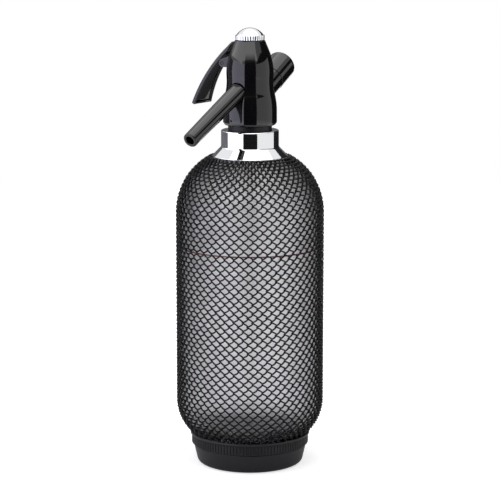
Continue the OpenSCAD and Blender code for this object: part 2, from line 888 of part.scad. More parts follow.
// Point of the lever's outside at a share of its length, moved inwards by a depth
function lever_point(share, depth) =
    let (a = lever_half * (2 * share - 1))
    lever_c + (lever_r - depth) * (lever_dir * sin(a) - lever_in * cos(a));
function lever_line(from, to, depth_from, depth_to, steps) = [
    for (i = [0 : steps])
        lever_point(from + (to - from) * i / steps, depth_from + (depth_to - depth_from) * i / steps)
];

// The lever's width as a wedge seen along X, narrower by a margin at each side
module lever_wedge(margin) {
    past = 10;
    high = lever_top[1] + past;
    low = lever_tip[1] - past;
    grow = (lever_tip_w - lever_top_w) / 2 / (lever_top[1] - lever_tip[1]);
    high_w = lever_top_w / 2 - past * grow - margin;
    low_w = lever_tip_w / 2 + past * grow - margin;
    rotate([90, 0, 90])
        linear_extrude(height = 2 * lever_span, center = true)
            polygon([[-low_w, low], [low_w, low], [high_w, high], [-high_w, high]]);
}

module lever() {
    deep = lever_skin + rim_depth;
    side = lever_tip_w + deep;
    past_tip = 1.1;
    color("#131316")
        difference() {
            union() {
                difference() {
                    intersection() {
                        across(side)
                            polygon(concat(
                                lever_line(0, 1, 0, 0, 16),
                                lever_line(1, rim_full, deep, deep, 14),
                                lever_line(rim_full, rim_start, deep, lever_skin, 2),
                                lever_line(rim_start, 0, lever_skin, lever_skin, 2)
                            ));
                        lever_wedge(0);
                    }
                    // the channel between the rims
                    intersection() {
                        across(side)
                            polygon(concat(
                                lever_line(rim_start, past_tip, lever_skin, lever_skin, 16),
                                lever_line(past_tip, rim_start, deep + cut, deep + cut, 16)
                            ));
                        lever_wedge(rim_t);
                    }
                }
                across(eye_w)
                    union() {
                        translate([pin_x, pin_z]) circle(r = eye_r);
                        polygon([
                            [pin_x, pin_z - eye_r],
                            [pin_x + eye_r * 0.6, pin_z + eye_r * 0.8],
                            lever_point(web_high, lever_skin / 2),
                            lever_point(web_low, lever_skin / 2)
                        ]);
                    }
                across(nose_w)
                    union() {
                        translate([nose_x, nose_z]) circle(r = nose_r);
                        polygon([
                            [pin_x + eye_r * 0.8, pin_z - nose_low], [nose_x, nose_z - nose_r],
                            [nose_x, nose_z + nose_r], [pin_x, pin_z + eye_r]
                        ]);
                    }
            }
            translate([pin_x, 0, pin_z]) rotate([90, 0, 0])
                cylinder(d = pin_d + 2 * pin_gap, h = eye_w + 2 * cut, center = true);
        }
}

module lever_pin() {
    half = eye_w / 2 + still_gap + ear_t;
    color("silver")
        translate([pin_x, 0, pin_z]) rotate([90, 0, 0])
            cylinder(d = pin_d, h = 2 * half, center = true);
}

glass_bottle();
mesh_jacket();
base_cup();
base_grip_ring();
base_cushion();
neck_collar();
thread_ring();
neck_liner();
neck_gasket();
head_shell();
valve_body();
siphon_tube();
tube_bush();
gas_check_valve();
piercing_pin();
charger_seal();
gas_charger();
charger_holder();
nozzle();
nozzle_seal();
valve_stem();
valve_seal();
stem_seal();
gland_ring();
valve_spring();
top_cap();
cap_seal();
lever();
lever_pin();
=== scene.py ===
import math

import bmesh
import bpy
import numpy as np
from mathutils import Matrix


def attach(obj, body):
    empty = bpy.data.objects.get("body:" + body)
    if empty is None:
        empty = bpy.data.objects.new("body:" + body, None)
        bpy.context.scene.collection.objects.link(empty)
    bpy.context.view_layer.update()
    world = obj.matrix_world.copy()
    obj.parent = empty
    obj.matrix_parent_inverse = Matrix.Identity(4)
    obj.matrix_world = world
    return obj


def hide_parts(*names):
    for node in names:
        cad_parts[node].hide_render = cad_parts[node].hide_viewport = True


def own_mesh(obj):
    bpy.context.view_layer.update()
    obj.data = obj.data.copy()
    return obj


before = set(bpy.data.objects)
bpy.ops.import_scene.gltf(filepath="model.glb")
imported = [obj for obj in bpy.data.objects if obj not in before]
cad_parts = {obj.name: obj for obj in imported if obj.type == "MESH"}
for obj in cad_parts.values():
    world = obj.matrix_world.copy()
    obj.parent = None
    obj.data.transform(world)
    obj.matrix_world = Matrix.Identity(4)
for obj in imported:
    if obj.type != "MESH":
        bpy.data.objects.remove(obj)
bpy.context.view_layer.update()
print("frame loaded with", len(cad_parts), "nodes")


# colour and node helpers
def linear(hexText):
    parts = [int(hexText[i:i + 2], 16) / 255 for i in (1, 3, 5)]
    return tuple(c / 12.92 if c <= 0.04045 else ((c + 0.055) / 1.055) ** 2.4 for c in parts) + (1,)


def perMetre(mm):
    return 1000 / mm  # scale of a pattern whose patches have this size


def addNode(tree, kind, settings, links=()):
    node = tree.nodes.new("ShaderNode" + kind)
    for key, value in settings.items():
        if isinstance(key, int) or key in node.inputs:
            node.inputs[key].default_value = value
        else:
            setattr(node, key, value)
    for key, source in links:
        tree.links.new(source, node.inputs[key])
    return node


def startMaterial(name, settings):
    material = bpy.data.materials.new(name)
    material.use_nodes = True
    tree = material.node_tree
    shader = tree.nodes["Principled BSDF"]
    for key, value in settings.items():
        shader.inputs[key].default_value = value
    place = addNode(tree, "TexCoord", {})
    return material, tree, shader, place.outputs["Object"]


def feed(shader, name, source):
    shader.id_data.links.new(source, shader.inputs[name])


# ABS from a polished mould: deep black, sharp reflections, a faint orange peel and slightly duller patches
glossAbs, tree, shader, place = startMaterial("glossAbs", {"Base Color": linear("#0b0b0d"), "IOR": 1.53})
patch = addNode(tree, "TexNoise", {"Scale": perMetre(20), "Detail": 4.0}, [("Vector", place)])
dull = addNode(tree, "MapRange", {"From Min": 0.3, "From Max": 0.7, "To Min": 0.05, "To Max": 0.1},
               [("Value", patch.outputs["Fac"])])
peel = addNode(tree, "TexNoise", {"Scale": perMetre(3), "Detail": 1.0}, [("Vector", place)])
bump = addNode(tree, "Bump", {"Strength": 0.04, "Distance": 0.0002}, [("Height", peel.outputs["Fac"])])
feed(shader, "Roughness", dull.outputs["Result"])
feed(shader, "Normal", bump.outputs["Normal"])

# ABS from a spark-eroded mould: charcoal with soft wide highlights
# the grain of 0.1 mm is drawn at 0.7 mm so that it shows
satinAbs, tree, shader, place = startMaterial("satinAbs", {"IOR": 1.53, "Specular IOR Level": 0.35})
patch = addNode(tree, "TexNoise", {"Scale": perMetre(30), "Detail": 3.0}, [("Vector", place)])
tone = addNode(tree, "Mix", {"data_type": "RGBA", 6: linear("#0f0f12"), 7: linear("#151519")},
               [("Factor", patch.outputs["Fac"])])
dull = addNode(tree, "MapRange", {"To Min": 0.36, "To Max": 0.46}, [("Value", patch.outputs["Fac"])])
grain = addNode(tree, "TexNoise", {"Scale": perMetre(0.7), "Detail": 2.0}, [("Vector", place)])
bump = addNode(tree, "Bump", {"Strength": 0.12, "Distance": 0.0002}, [("Height", grain.outputs["Fac"])])
feed(shader, "Base Color", tone.outputs[2])
feed(shader, "Roughness", dull.outputs["Result"])
feed(shader, "Normal", bump.outputs["Normal"])

# Chrome plate on polished brass: mirror sharp, with a breath of haze from handling
chromePlate, tree, shader, place = startMaterial("chromePlate", {
    "Base Color": linear("#e6e8ea"), "Metallic": 1.0})
haze = addNode(tree, "TexNoise", {"Scale": perMetre(12), "Detail": 5.0}, [("Vector", place)])
dull = addNode(tree, "MapRange", {"From Min": 0.35, "From Max": 0.75, "To Min": 0.03, "To Max": 0.08},
               [("Value", haze.outputs["Fac"])])
feed(shader, "Roughness", dull.outputs["Result"])

# Pressed bottle glass, acid-etched: lets light through but blurs what is behind, and shines at a low angle
etchedGlass, tree, shader, place = startMaterial("etchedGlass", {
    "Base Color": linear("#f3f2f4"), "IOR": 1.5, "Transmission Weight": 1.0,
    "Coat Weight": 0.15, "Coat Roughness": 0.1})
cloud = addNode(tree, "TexNoise", {"Scale": perMetre(25), "Detail": 4.0}, [("Vector", place)])
dull = addNode(tree, "MapRange", {"To Min": 0.25, "To Max": 0.33}, [("Value", cloud.outputs["Fac"])])
feed(shader, "Roughness", dull.outputs["Result"])

# Black lacquer on drawn steel wire: near black, with soft glints and paler patches where it is thin
lacqueredWire, tree, shader, place = startMaterial("lacqueredWire", {"IOR": 1.5, "Specular IOR Level": 0.22})
wear = addNode(tree, "TexNoise", {"Scale": perMetre(4), "Detail": 6.0}, [("Vector", place)])
tone = addNode(tree, "ValToRGB", {}, [("Fac", wear.outputs["Fac"])])
tone.color_ramp.elements[0].position = 0.45
tone.color_ramp.elements[0].color = linear("#070708")
tone.color_ramp.elements[1].position = 0.8
tone.color_ramp.elements[1].color = linear("#161517")
dull = addNode(tree, "MapRange", {"To Min": 0.22, "To Max": 0.4}, [("Value", wear.outputs["Fac"])])
feed(shader, "Base Color", tone.outputs["Color"])
feed(shader, "Roughness", dull.outputs["Result"])

# Brass off a lathe: warm metal with rings from the tool, drawn 1 mm apart instead of 0.1 mm so that they show
turnedBrass, tree, shader, place = startMaterial("turnedBrass", {
    "Base Color": linear("#c9a257"), "Metallic": 1.0})
waveLength = math.pi / 10  # metres from band to band at a scale of 1
rings = addNode(tree, "TexWave", {
    "bands_direction": "Z", "Scale": waveLength * perMetre(1), "Distortion": 0.6}, [("Vector", place)])
dull = addNode(tree, "MapRange", {"To Min": 0.18, "To Max": 0.34}, [("Value", rings.outputs["Fac"])])
feed(shader, "Roughness", dull.outputs["Result"])

# Bright drawn steel: cool grey metal with a fine uneven sheen
drawnSteel, tree, shader, place = startMaterial("drawnSteel", {
    "Base Color": linear("#c4c5c9"), "Metallic": 1.0})
streak = addNode(tree, "TexNoise", {"Scale": perMetre(1.5), "Detail": 4.0}, [("Vector", place)])
dull = addNode(tree, "MapRange", {"To Min": 0.16, "To Max": 0.36}, [("Value", streak.outputs["Fac"])])
feed(shader, "Roughness", dull.outputs["Result"])

# Steel blackened with hot oxide: dark metal with a soft sheen
blackenedSteel, tree, shader, place = startMaterial("blackenedSteel", {
    "Base Color": linear("#3a3a3d"), "Metallic": 1.0})
oxide = addNode(tree, "TexNoise", {"Scale": perMetre(2), "Detail": 4.0}, [("Vector", place)])
dull = addNode(tree, "MapRange", {"To Min": 0.25, "To Max": 0.45}, [("Value", oxide.outputs["Fac"])])
feed(shader, "Roughness", dull.outputs["Result"])

# Moulded nitrile rubber: matt black with a dusty bloom
nitrileRubber, tree, shader, place = startMaterial("nitrileRubber", {"Roughness": 0.75, "IOR": 1.52})
bloom = addNode(tree, "TexNoise", {"Scale": perMetre(3), "Detail": 5.0}, [("Vector", place)])
tone = addNode(tree, "Mix", {"data_type": "RGBA", 6: linear("#161616"), 7: linear("#2a2a29")},
               [("Factor", bloom.outputs["Fac"])])
feed(shader, "Base Color", tone.outputs[2])

# Natural nylon: milky white, waxy, a little light goes in
naturalNylon, tree, shader, place = startMaterial("naturalNylon", {
    "IOR": 1.53, "Subsurface Weight": 0.2, "Subsurface Radius": (0.002, 0.002, 0.0018),
    "Subsurface Scale": 1.0})
milk = addNode(tree, "TexNoise", {"Scale": perMetre(6), "Detail": 3.0}, [("Vector", place)])
tone = addNode(tree, "Mix", {"data_type": "RGBA", 6: linear("#dddcd4"), 7: linear("#e8e7e0")},
               [("Factor", milk.outputs["Fac"])])
dull = addNode(tree, "MapRange", {"To Min": 0.35, "To Max": 0.5}, [("Value", milk.outputs["Fac"])])
feed(shader, "Base Color", tone.outputs[2])
feed(shader, "Roughness", dull.outputs["Result"])

# Extruded clear vinyl tube: see-through, with a faint haze and a soft shine
clearVinyl, tree, shader, place = startMaterial("clearVinyl", {
    "Base Color": linear("#fafaf8"), "IOR": 1.53, "Transmission Weight": 1.0})
haze = addNode(tree, "TexNoise", {"Scale": perMetre(8), "Detail": 3.0}, [("Vector", place)])
dull = addNode(tree, "MapRange", {"To Min": 0.04, "To Max": 0.1}, [("Value", haze.outputs["Fac"])])
feed(shader, "Roughness", dull.outputs["Result"])

# Black acetal, turned: dense black with a low sheen
blackAcetal, tree, shader, place = startMaterial("blackAcetal", {"IOR": 1.48, "Specular IOR Level": 0.25})
swirl = addNode(tree, "TexNoise", {"Scale": perMetre(2), "Detail": 4.0}, [("Vector", place)])
tone = addNode(tree, "Mix", {"data_type": "RGBA", 6: linear("#131315"), 7: linear("#1d1d20")},
               [("Factor", swirl.outputs["Fac"])])
dull = addNode(tree, "MapRange", {"To Min": 0.3, "To Max": 0.45}, [("Value", swirl.outputs["Fac"])])
feed(shader, "Base Color", tone.outputs[2])
feed(shader, "Roughness", dull.outputs["Result"])

# Fired ceramic ink: matt red-brown band with slightly uneven cover
ceramicInk, tree, shader, place = startMaterial("ceramicInk", {"Roughness": 0.55, "IOR": 1.5})
cover = addNode(tree, "TexNoise", {"Scale": perMetre(1.5), "Detail": 3.0}, [("Vector", place)])
tone = addNode(tree, "Mix", {"data_type": "RGBA", 6: linear("#6c3d39"), 7: linear("#875850")},
               [("Factor", cover.outputs["Fac"])])
feed(shader, "Base Color", tone.outputs[2])
print("materials made:", len(bpy.data.materials))

# mesh helpers, all in mm
usualSharp = 40  # degrees between two faces over which their edge shades sharp
straightRun = {"over": 3, "end": 0.25}  # longer straight runs get points this near to their ends
quarterTurn = np.linspace(0, math.pi / 2, 5)  # steps round an edge
axisGap = 1e-6  # closer points lie on the axis
hullPoints = 40  # on each circle of a hull


def newMesh(name, verts, faces, matrix=None):
    mesh = bpy.data.meshes.new(name)
    mesh.from_pydata([tuple(v) for v in verts], [], faces)
    if matrix is not None:
        mesh.transform(matrix)
    mesh.transform(Matrix.Scale(0.001, 4))  # mm to metres
    work = bmesh.new()
    work.from_mesh(mesh)
    bmesh.ops.recalc_face_normals(work, faces=work.faces)
    work.to_mesh(mesh)
    work.free()
    piece = bpy.data.objects.new(name, mesh)
    bpy.context.scene.collection.objects.link(piece)
    return piece


def combine(piece, other, operation):
    # unite with or cut by another mesh, which is used up
    bpy.context.view_layer.update()
    step = piece.modifiers.new("combine", "BOOLEAN")
    step.object = other
    step.operation = operation
    step.solver = "EXACT"
    graph = bpy.context.evaluated_depsgraph_get()
    mesh = bpy.data.meshes.new_from_object(piece.evaluated_get(graph))
    mesh.name = piece.name
    piece.modifiers.clear()
    piece.data = mesh
    bpy.data.objects.remove(other)


def join(piece, other):
    # put another mesh, which is used up, into the same piece
    work = bmesh.new()
    work.from_mesh(piece.data)
    work.from_mesh(other.data)
    work.to_mesh(piece.data)
    work.free()
    bpy.data.objects.remove(other)


def finishPiece(piece, facts):
    piece.data.materials.clear()
    piece.data.materials.append(facts["material"])
    piece.data.polygons.foreach_set("material_index", [0] * len(piece.data.polygons))
    piece.data.shade_smooth()
    piece.data.set_sharp_from_angle(angle=math.radians(facts.get("sharp", usualSharp)))
    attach(piece, facts["body"])
    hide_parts(*facts["nodes"])
    print(piece.name, len(piece.data.polygons), "faces")


def arc(cx, cz, radius, start, end, steps):
    angles = np.radians(np.linspace(start, end, steps + 1))
    return [(cx + radius * math.cos(a), cz + radius * math.sin(a)) for a in angles]


def leanRadius(width, height):
    # of an arc that starts upright and leans over by this width within this height
    return (width * width + height * height) / (2 * width)


def ease(share):
    share = max(0, min(1, share))
    return share * share * (3 - 2 * share)


def between(count):
    # shares along a run of this many steps, without its ends
    return np.linspace(0, 1, count + 1)[1:-1]


def roundCorners(corners, steps=5, closed=True):
    # outline of (x, y, fillet), with points close to the ends of long straight runs so that they shade flat
    points = []
    for i, (x, y, fillet) in enumerate(corners):
        here = np.array((x, y), float)
        if fillet == 0:
            points.append(here)
            continue
        u = np.array(corners[i - 1][:2]) - here
        v = np.array(corners[(i + 1) % len(corners)][:2]) - here
        u, v = u / np.linalg.norm(u), v / np.linalg.norm(v)
        half = math.acos(max(-1, min(1, u @ v))) / 2
        middle = here + (u + v) / np.linalg.norm(u + v) * fillet / math.sin(half)
        a = here + u * fillet / math.tan(half) - middle
        b = here + v * fillet / math.tan(half) - middle
        start = math.atan2(a[1], a[0])
        turn = (math.atan2(b[1], b[0]) - start + math.pi) % (2 * math.pi) - math.pi
        for k in range(steps + 1):
            angle = start + turn * k / steps
            points.append(middle + fillet * np.array((math.cos(angle), math.sin(angle))))
    full = []
    for p, q in zip(points, points[1:] + points[:1] if closed else points[1:]):
        full.append(tuple(p))
        run = np.linalg.norm(q - p)
        if run > straightRun["over"]:
            end = (q - p) * straightRun["end"] / run
            full += [tuple(p + end), tuple(q - end)]
    return full if closed else full + [tuple(points[-1])]


def lathe(outline, segments, carve=None):
    # closed outline of (r, z) or (r, z, share of the carving)
    verts, faces, rings = [], [], []
    for point in outline:
        r, z = point[0], point[1]
        share = point[2] if len(point) > 2 else 0
        if r < axisGap:
            rings.append([len(verts)] * segments)
            verts.append((0, 0, z))
            continue
        rings.append(list(range(len(verts), len(verts) + segments)))
        for k in range(segments):
            angle = 2 * math.pi * k / segments
            here = r - (carve(k / segments) * share if carve else 0)
            verts.append((here * math.cos(angle), here * math.sin(angle), z))
    for a, b in zip(rings, rings[1:] + rings[:1]):
        for k in range(segments):
            m = (k + 1) % segments
            face = list(dict.fromkeys((a[k], b[k], b[m], a[m])))
            if len(face) > 2:
                faces.append(face)
    return verts, faces


def axisPlace(x, z, tilt):
    # puts the lathe's axis through (x, 0, z) and tilts it about X
    return Matrix.Translation((x, 0, z)) @ Matrix.Rotation(math.radians(tilt), 4, "X")


def rod(name, radius, start, end, segments, matrix):
    # cutter for a round hole
    return newMesh(name, *lathe([(0, start), (radius, start), (radius, end), (0, end)], segments), matrix)


def outwards(outline):
    # outward directions along a closed outline that runs anticlockwise
    points = np.array(outline, float)
    run = np.roll(points, -1, 0) - np.roll(points, 1, 0)
    out = np.stack((run[:, 1], -run[:, 0]), 1)
    return out / np.linalg.norm(out, axis=1)[:, None]


def loft(rings):
    # quads between rings of equal count, with both ends closed
    count = len(rings[0])
    verts = [p for ring in rings for p in ring]
    faces = []
    for i in range(len(rings) - 1):
        for k in range(count):
            m = (k + 1) % count
            faces.append((i * count + k, i * count + m, (i + 1) * count + m, (i + 1) * count + k))
    faces.append(list(range(count)))
    faces.append(list(range((len(rings) - 1) * count, len(rings) * count)))
    return verts, faces


def hullOutline(circles):
    # anticlockwise hull round circles of (x, z, r)
    angles = np.linspace(0, 2 * math.pi, hullPoints, endpoint=False)
    points = sorted({(round(x + r * math.cos(a), 6), round(z + r * math.sin(a), 6))
                     for x, z, r in circles for a in angles})
    halves = []
    for run in (points, points[::-1]):
        chain = []
        for p in run:
            while len(chain) > 1 and ((chain[-1][0] - chain[-2][0]) * (p[1] - chain[-2][1])
                                      - (chain[-1][1] - chain[-2][1]) * (p[0] - chain[-2][0])) <= 0:
                chain.pop()
            chain.append(p)
        halves += chain[:-1]
    return halves


def acrossLever(outline, middle, width, rounding):
    # a plate across the lever with rounded edges: the outline lies in the X-Z plane
    points = np.array(outline)
    out = outwards(outline)
    rings = []
    for side, angles in ((-1, quarterTurn), (1, quarterTurn[::-1])):
        for a in angles:
            flat = points - out * rounding * (1 - math.sin(a))
            y = middle + side * (width / 2 - rounding * (1 - math.cos(a)))
            rings.append([(x, y, z) for x, z in flat])
    return loft(rings)


def sweep(path, out, radius, sides):
    # tube along each row of path, whose rings start from the out directions
    along = np.gradient(path, axis=1)
    along /= np.linalg.norm(along, axis=2, keepdims=True)
    across = np.cross(along, out)
    across /= np.linalg.norm(across, axis=2, keepdims=True)
    up = np.cross(across, along)
    angles = np.linspace(0, 2 * math.pi, sides, endpoint=False)
    verts = (path[:, :, None] + radius * (np.cos(angles)[:, None] * up[:, :, None]
                                          + np.sin(angles)[:, None] * across[:, :, None])).reshape(-1, 3)
    count = path.shape[1]
    faces = []
    for row in range(path.shape[0]):
        base = row * count * sides
        for i in range(count - 1):
            a = base + i * sides
            for k in range(sides):
                m = (k + 1) % sides
                faces.append((a + k, a + m, a + sides + m, a + sides + k))
        faces.append(list(range(base, base + sides)))
        faces.append(list(range(base + (count - 1) * sides, base + count * sides)))
    return verts, faces


# the body's arcs, shared by the glass, the jacket and the cup
bodyForm = {"radius": 56, "shoulderC": 7.5, "shoulderZ": 195.5, "shoulderR": 48.5, "shoulderSteps": 36,
            "heelC": 22, "heelZ": 50, "heelR": 34, "heelSteps": 28}


def bodyOutline(depth, topRadius):
    # from the flat floor up to the neck, this deep under the body's surface
    heelR, shoulderR = bodyForm["heelR"] - depth, bodyForm["shoulderR"] - depth
    top = math.degrees(math.acos((topRadius - bodyForm["shoulderC"]) / shoulderR))
    return (arc(bodyForm["heelC"], bodyForm["heelZ"], heelR, -90, 0, bodyForm["heelSteps"])
            + arc(bodyForm["shoulderC"], bodyForm["shoulderZ"], shoulderR, 0, top, bodyForm["shoulderSteps"]))


glass = {"depth": 2.7, "wall": 5, "neckR": 17.2, "mouthR": 12.2, "beadR": 18.6, "beadH": 4, "lipZ": 247.061,
         "neckRound": 0.4, "beadRound": 0.8, "lipRound": 1.2, "mouthRound": 1, "segments": 144,
         "body": "bottle", "nodes": ["glass_bottle"], "slot": "glass", "material": etchedGlass}
floorZ = bodyForm["heelZ"] - bodyForm["heelR"] + glass["depth"]
beadZ = glass["lipZ"] - glass["beadH"]
outer = bodyOutline(glass["depth"], glass["neckR"])
inner = bodyOutline(glass["depth"] + glass["wall"], glass["mouthR"])
bead = roundCorners([
    (*outer[-1], 0), (glass["neckR"], beadZ, glass["neckRound"]), (glass["beadR"], beadZ, glass["beadRound"]),
    (glass["beadR"], glass["lipZ"], glass["lipRound"]), (glass["mouthR"], glass["lipZ"], glass["mouthRound"]),
    (*inner[-1], 0)], closed=False)
glassOutline = [(0, floorZ)] + outer[:-1] + bead + inner[-2::-1] + [(0, floorZ + glass["wall"])]
glassBottle = newMesh("glassBottle", *lathe(glassOutline, glass["segments"]))
finishPiece(glassBottle, glass)

fillMark = {"z": 169.4, "height": 1.1, "inner": 53.25, "outer": 53.42, "round": 0.05, "segments": 192,
            "body": "bottle", "nodes": [], "slot": "glass", "material": ceramicInk}
low, high = fillMark["z"] - fillMark["height"] / 2, fillMark["z"] + fillMark["height"] / 2
fillLine = newMesh("fillLine", *lathe(roundCorners([
    (fillMark["inner"], low, 0), (fillMark["outer"], low, fillMark["round"]),
    (fillMark["outer"], high, fillMark["round"]), (fillMark["inner"], high, 0)]), fillMark["segments"]))
finishPiece(fillLine, fillMark)

# chain-link jacket: flattened spirals side by side, each hooked into its neighbours, half a turn out of step
weave = {"spirals": 96, "pitch": 6.75, "wire": 1.24, "topR": 29.9, "lowAngle": -58,
         "hook": 0.5,  # reach of a bend past the middle between two spirals
         "bend": 2.4,  # more makes the bends on the right wider, and those on the left are sharp
         "depth": 1.45,  # of the bends under the body's surface
         "frontRise": 1.6, "peak": 1.5, "backDip": 0.6,  # the runs in front rise, those behind dip
         "perTurn": 16, "sides": 6, "parts": 4,
         "body": "bottle", "nodes": ["mesh_jacket"], "slot": "wire", "material": lacqueredWire, "sharp": 80}
topAngle = math.acos((weave["topR"] - bodyForm["shoulderC"]) / bodyForm["shoulderR"])
lowAngle = math.radians(weave["lowAngle"])
shoulderRun = bodyForm["shoulderR"] * topAngle
wallEnd = shoulderRun + bodyForm["shoulderZ"] - bodyForm["heelZ"]
heelRun = -bodyForm["heelR"] * lowAngle
along = np.linspace(0, wallEnd + heelRun, int((wallEnd + heelRun) / weave["pitch"] * weave["perTurn"]))
stretches = [along < shoulderRun, along < wallEnd]  # the rest is the heel
slope = np.select(stretches, [topAngle * (1 - along / shoulderRun), 0],
                  lowAngle * (along - wallEnd) / heelRun)
baseR = np.select(stretches, [bodyForm["shoulderC"] + bodyForm["shoulderR"] * np.cos(slope),
                              bodyForm["radius"]],
                  bodyForm["heelC"] + bodyForm["heelR"] * np.cos(slope))
baseZ = np.select(stretches, [bodyForm["shoulderZ"] + bodyForm["shoulderR"] * np.sin(slope),
                              bodyForm["shoulderZ"] - (along - shoulderRun)],
                  bodyForm["heelZ"] + bodyForm["heelR"] * np.sin(slope))
perPart = weave["spirals"] // weave["parts"]
for part in range(weave["parts"]):
    spiral = np.arange(part * perPart, (part + 1) * perPart)[:, None]
    turn = (along / weave["pitch"] + spiral % 2 * 0.5) % 1
    reach = math.pi * baseR / weave["spirals"] + weave["hook"]
    # down the front from left to right and round a wide bend, then back behind to a sharp one
    fromRight = 2 * np.abs(turn - 0.5)
    sideways = reach * (1 - 2 * fromRight ** weave["bend"])
    swing = np.sin(2 * math.pi * turn)
    rise = np.where(swing > 0, weave["frontRise"] * np.abs(swing) ** weave["peak"], weave["backDip"] * swing)
    wireR = baseR - (weave["depth"] - rise) * np.cos(slope)
    wireZ = baseZ - (weave["depth"] - rise) * np.sin(slope)
    angle = 2 * math.pi * spiral / weave["spirals"] + sideways / baseR
    path = np.stack((wireR * np.cos(angle), wireR * np.sin(angle), wireZ), 2)
    out = np.stack((np.cos(slope) * np.cos(angle), np.cos(slope) * np.sin(angle),
                    np.sin(slope) + 0 * angle), 2)
    jacketWeave = newMesh("jacketWeave" + str(part + 1), *sweep(path, out, weave["wire"] / 2, weave["sides"]))
    finishPiece(jacketWeave, weave)

cup = {"footCornerR": 40.16, "footRound": 4, "flankR": 43.54, "flankDrop": 0.6, "flankRound": 0.5,
       "bandZ": 15.2, "grooveR": 43.04, "grooveDrop": 0.5, "grooveRound": 0.2, "underLipRound": 0.3,
       "lipR": 46.04, "lipH": 2.1, "lipRound": 0.6, "rimRound": 0.7, "rimIn": 1.1, "height": 24.5,
       "seatR": 34.3, "seatLead": 0.4, "seatSteps": 12, "wallR": 38.04, "floor": 3, "segments": 160,
       "pedestal": 5, "pedestalTop": 15.7, "pedestalSunk": 0.5, "pedestalRound": 0.4, "pedestalSegments": 96,
       "body": "bottle", "nodes": ["base_cup"], "slot": "base_plastic", "material": satinAbs}
lipZ = cup["height"] - cup["lipH"]
seatStart = math.degrees(math.asin((cup["height"] - bodyForm["heelZ"]) / cup["seatR"]))
seatEnd = -math.degrees(math.acos((cup["wallR"] - bodyForm["heelC"]) / cup["seatR"]))
outside = roundCorners([
    (0, 0, 0), (cup["footCornerR"], 0, cup["footRound"]),
    (cup["flankR"], cup["bandZ"] - cup["flankDrop"], cup["flankRound"]),
    (cup["grooveR"], cup["bandZ"] - cup["grooveDrop"], cup["grooveRound"]),
    (cup["grooveR"], lipZ, cup["underLipRound"]), (cup["lipR"], lipZ, cup["lipRound"]),
    (cup["lipR"], cup["height"], cup["rimRound"]), (cup["lipR"] - cup["rimIn"], cup["height"], 0)],
    closed=False)
inside = arc(bodyForm["heelC"], bodyForm["heelZ"], cup["seatR"], seatStart - cup["seatLead"], seatEnd,
             cup["seatSteps"])
cupOutline = outside + inside + [(cup["wallR"], cup["floor"]), (0, cup["floor"])]
baseCup = newMesh("baseCup", *lathe(cupOutline, cup["segments"]))
pedestalR = bodyForm["heelC"]
pedestalIn = pedestalR - cup["pedestal"]
pedestalLow = cup["floor"] - cup["pedestalSunk"]
pedestal = roundCorners([
    (pedestalR, pedestalLow, 0), (pedestalR, cup["pedestalTop"], cup["pedestalRound"]),
    (pedestalIn, cup["pedestalTop"], cup["pedestalRound"]), (pedestalIn, pedestalLow, 0)])
combine(baseCup, newMesh("pedestal", *lathe(pedestal, cup["pedestalSegments"])), "UNION")
finishPiece(baseCup, cup)

grip = {"ribs": 110, "depth": 0.8, "ribAt": (0, 0.3, 0.5, 0.8, 1), "ribCut": (1, 1, 0, 0, 1), "perRib": 10,
        "radius": 45.04, "inner": 43.74, "height": 7, "edge": 0.35,
        "body": "bottle", "nodes": ["base_grip_ring"], "slot": "base_plastic", "material": satinAbs,
        "sharp": 50}


def ribCarve(share):
    return grip["depth"] * float(np.interp(share * grip["ribs"] % 1, grip["ribAt"], grip["ribCut"]))


low, high, edge = cup["bandZ"], cup["bandZ"] + grip["height"], grip["edge"]
endR = grip["radius"] - grip["depth"]
gripOutline = [(grip["inner"], low, 0), (endR, low, 0)]
gripOutline += [(grip["radius"], z, 1) for z in (low + edge, low + 2 * edge, high - 2 * edge, high - edge)]
gripOutline += [(endR, high, 0), (grip["inner"], high, 0)]
gripBand = newMesh("gripBand", *lathe(gripOutline, grip["ribs"] * grip["perRib"], ribCarve))
finishPiece(gripBand, grip)

collar = {"skirtR": 29.5, "skirtZ": 238.023, "skirtH": 7.4, "skirtLip": 0.2, "sleeveR": 21.9, "top": 258.061,
          "sheet": 1.3, "flangeR": 16.9, "flangeT": 0.9, "innerDrop": 0.5,
          "lipRound": 0.35, "bendRound": 2.2, "topRound": 0.9, "flangeRound": 0.3, "innerBendRound": 2,
          "innerLipRound": 0.2, "steps": 7, "segments": 192,
          "body": "bottle", "nodes": ["neck_collar"], "slot": "chrome", "material": chromePlate}
skirtTop = collar["skirtZ"] + collar["skirtH"]
sleeveIn = collar["sleeveR"] - collar["sheet"]
flangeZ = collar["top"] - collar["flangeT"]
collarOutline = roundCorners([
    (collar["skirtR"], collar["skirtZ"] - collar["skirtLip"], collar["lipRound"]),
    (collar["sleeveR"], skirtTop, collar["bendRound"]),
    (collar["sleeveR"], collar["top"], collar["topRound"]),
    (collar["flangeR"], collar["top"], collar["flangeRound"]), (collar["flangeR"], flangeZ, 0),
    (sleeveIn, flangeZ, 0), (sleeveIn, skirtTop - collar["innerDrop"], collar["innerBendRound"]),
    (collar["skirtR"] - collar["sheet"], collar["skirtZ"], collar["innerLipRound"])], collar["steps"])
neckCollar = newMesh("neckCollar", *lathe(collarOutline, collar["segments"]))
finishPiece(neckCollar, collar)

